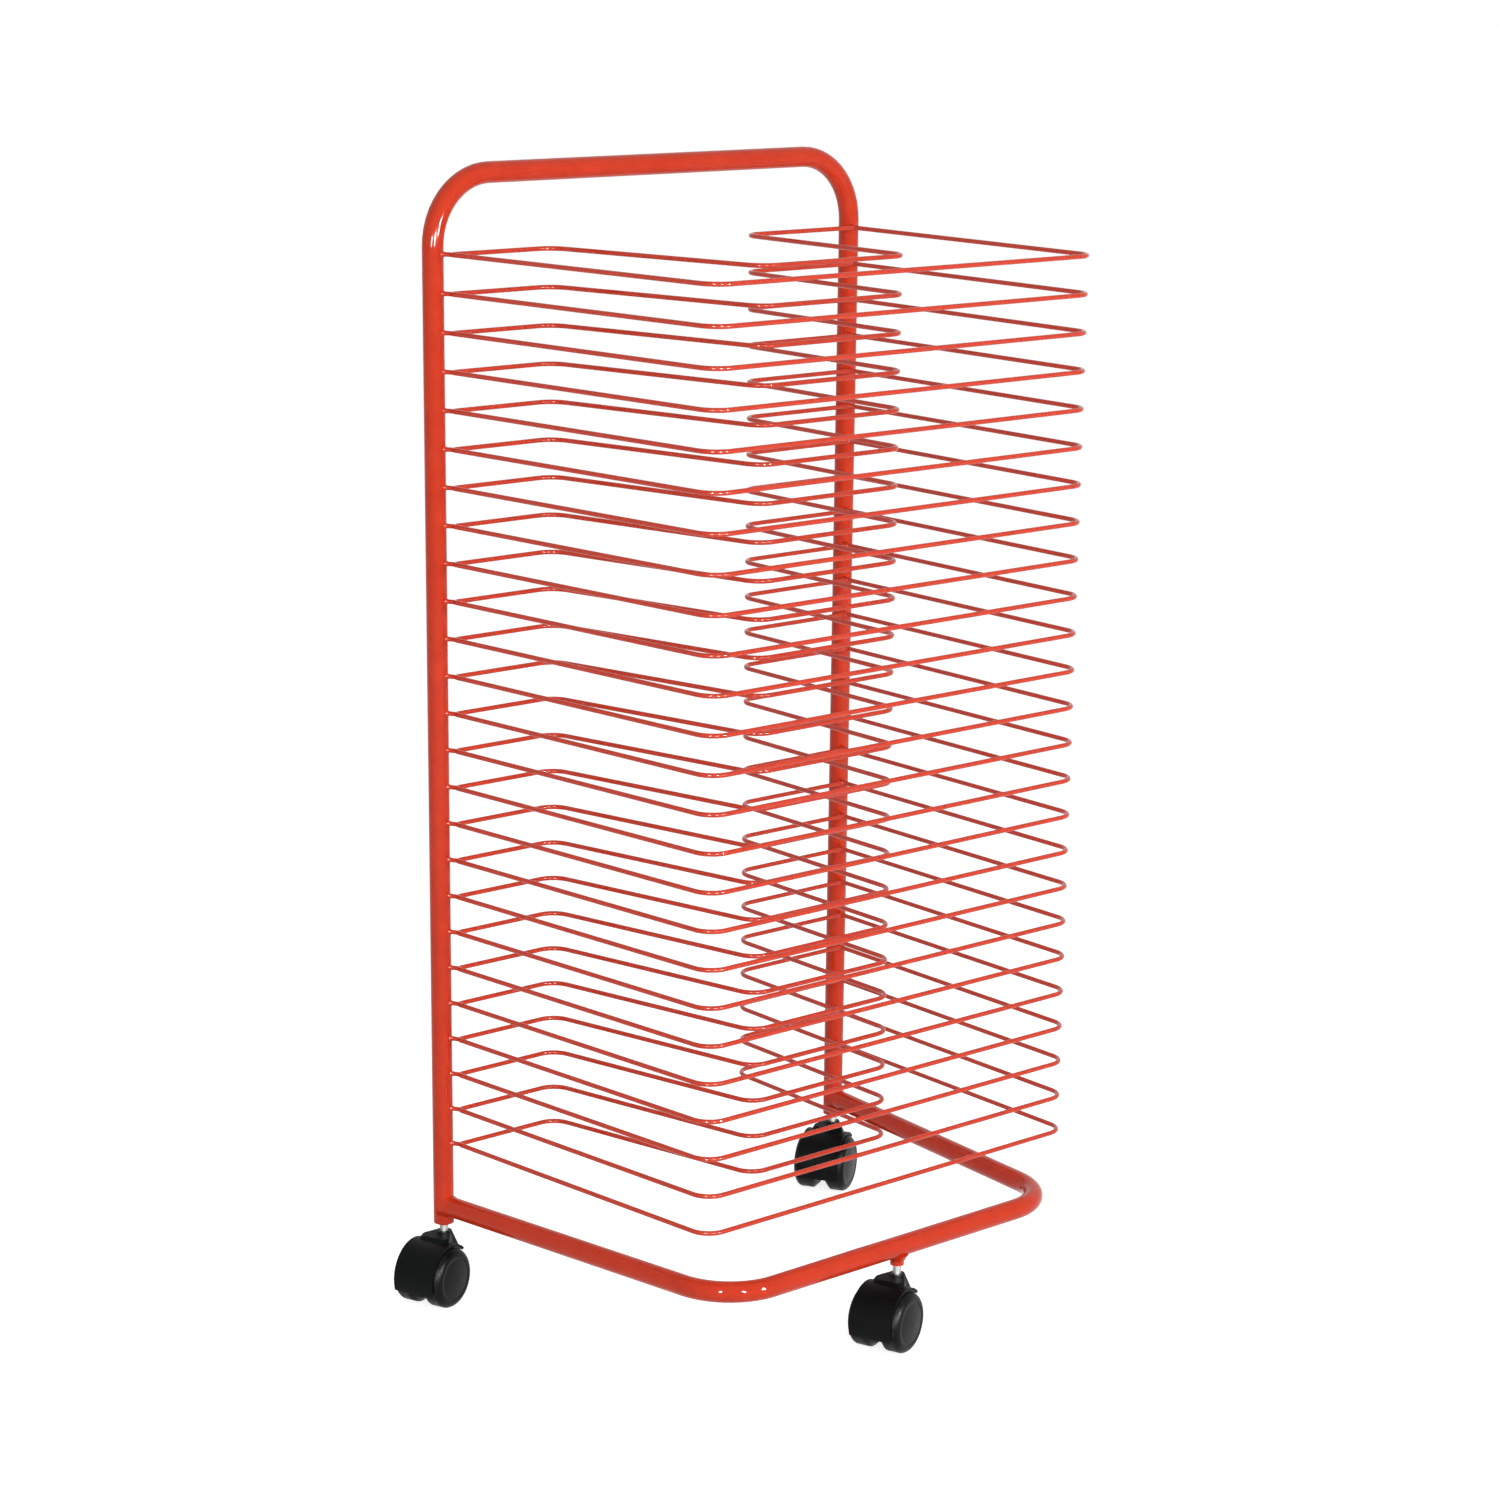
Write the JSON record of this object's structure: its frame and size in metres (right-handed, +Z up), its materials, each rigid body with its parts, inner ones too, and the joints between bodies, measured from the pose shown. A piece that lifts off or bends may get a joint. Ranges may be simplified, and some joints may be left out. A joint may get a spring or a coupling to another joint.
{
  "type": "art drying rack",
  "caption": "Mobile drying rack for paintings: a bent-tube hoop and base carry a column of C-shaped wire shelves, on three twin-wheel swivel casters.",
  "frame": {"origin": "on the floor, midway between the two posts", "axes": "+X along the back hoop towards the post at the viewer's right, -Y towards the open front of the shelves, +Z up"},
  "size_m": [0.5363, 0.3927, 0.984],
  "materials": {
    "red_powder_coat": "gloss",
    "zinc_plated_steel": "satin",
    "black_hood_plastic": "semi-matt",
    "black_wheel_plastic": "satin"
  },
  "bodies": {
    "frame": {"frame_hoop": "red_powder_coat", "base_loop": "red_powder_coat", "base_welds": "red_powder_coat", "shelf_01": "red_powder_coat", "shelf_02": "red_powder_coat", "shelf_03": "red_powder_coat", "shelf_04": "red_powder_coat", "shelf_05": "red_powder_coat", "shelf_06": "red_powder_coat", "shelf_07": "red_powder_coat", "shelf_08": "red_powder_coat", "shelf_09": "red_powder_coat", "shelf_10": "red_powder_coat", "shelf_11": "red_powder_coat", "shelf_12": "red_powder_coat", "shelf_13": "red_powder_coat", "shelf_14": "red_powder_coat", "shelf_15": "red_powder_coat", "shelf_16": "red_powder_coat", "shelf_17": "red_powder_coat", "shelf_18": "red_powder_coat", "shelf_19": "red_powder_coat", "shelf_20": "red_powder_coat", "shelf_21": "red_powder_coat", "shelf_22": "red_powder_coat", "shelf_23": "red_powder_coat", "shelf_24": "red_powder_coat", "shelf_25": "red_powder_coat", "shelf_welds_left": "red_powder_coat", "shelf_welds_right": "red_powder_coat", "post_insert_left": "red_powder_coat", "post_insert_right": "red_powder_coat", "front_boss": "red_powder_coat", "front_boss_weld": "red_powder_coat", "caster_left_stem": "zinc_plated_steel", "caster_right_stem": "zinc_plated_steel", "caster_front_stem": "zinc_plated_steel"},
    "caster_left": {"caster_left_hood": "black_hood_plastic", "caster_left_axle": "zinc_plated_steel"},
    "caster_left_wheel_front_body": {"caster_left_wheel_front": "black_wheel_plastic"},
    "caster_left_wheel_back_body": {"caster_left_wheel_back": "black_wheel_plastic"},
    "caster_right": {"caster_right_hood": "black_hood_plastic", "caster_right_axle": "zinc_plated_steel"},
    "caster_right_wheel_front_body": {"caster_right_wheel_front": "black_wheel_plastic"},
    "caster_right_wheel_back_body": {"caster_right_wheel_back": "black_wheel_plastic"},
    "caster_front": {"caster_front_hood": "black_hood_plastic", "caster_front_axle": "zinc_plated_steel"},
    "caster_front_wheel_front_body": {"caster_front_wheel_front": "black_wheel_plastic"},
    "caster_front_wheel_back_body": {"caster_front_wheel_back": "black_wheel_plastic"}
  },
  "joints": [
    {"name": "caster_left_swivel", "type": "hinge", "parent": "frame", "child": "caster_left", "pos_m": [-0.2335, 0, 0.057], "axis": [0, 0, 1], "continuous": true},
    {"name": "caster_left_wheel_front_spin", "type": "hinge", "parent": "caster_left", "child": "caster_left_wheel_front_body", "pos_m": [-0.2511, -0.00572, 0.0265], "axis": [-0.309, 0.9511, 0], "continuous": true},
    {"name": "caster_left_wheel_back_spin", "type": "hinge", "parent": "caster_left", "child": "caster_left_wheel_back_body", "pos_m": [-0.2511, -0.00572, 0.0265], "axis": [-0.309, 0.9511, 0], "continuous": true},
    {"name": "caster_right_swivel", "type": "hinge", "parent": "frame", "child": "caster_right", "pos_m": [0.2335, 0, 0.057], "axis": [0, 0, 1], "continuous": true},
    {"name": "caster_right_wheel_front_spin", "type": "hinge", "parent": "caster_right", "child": "caster_right_wheel_front_body", "pos_m": [0.21732, -0.00897, 0.0265], "axis": [-0.4848, 0.8746, 0], "continuous": true},
    {"name": "caster_right_wheel_back_spin", "type": "hinge", "parent": "caster_right", "child": "caster_right_wheel_back_body", "pos_m": [0.21732, -0.00897, 0.0265], "axis": [-0.4848, 0.8746, 0], "continuous": true},
    {"name": "caster_front_swivel", "type": "hinge", "parent": "frame", "child": "caster_front", "pos_m": [0, -0.332, 0.057], "axis": [0, 0, 1], "continuous": true},
    {"name": "caster_front_wheel_front_spin", "type": "hinge", "parent": "caster_front", "child": "caster_front_wheel_front_body", "pos_m": [-0.01759, -0.33772, 0.0265], "axis": [-0.309, 0.9511, 0], "continuous": true},
    {"name": "caster_front_wheel_back_spin", "type": "hinge", "parent": "caster_front", "child": "caster_front_wheel_back_body", "pos_m": [-0.01759, -0.33772, 0.0265], "axis": [-0.309, 0.9511, 0], "continuous": true}
  ]
}
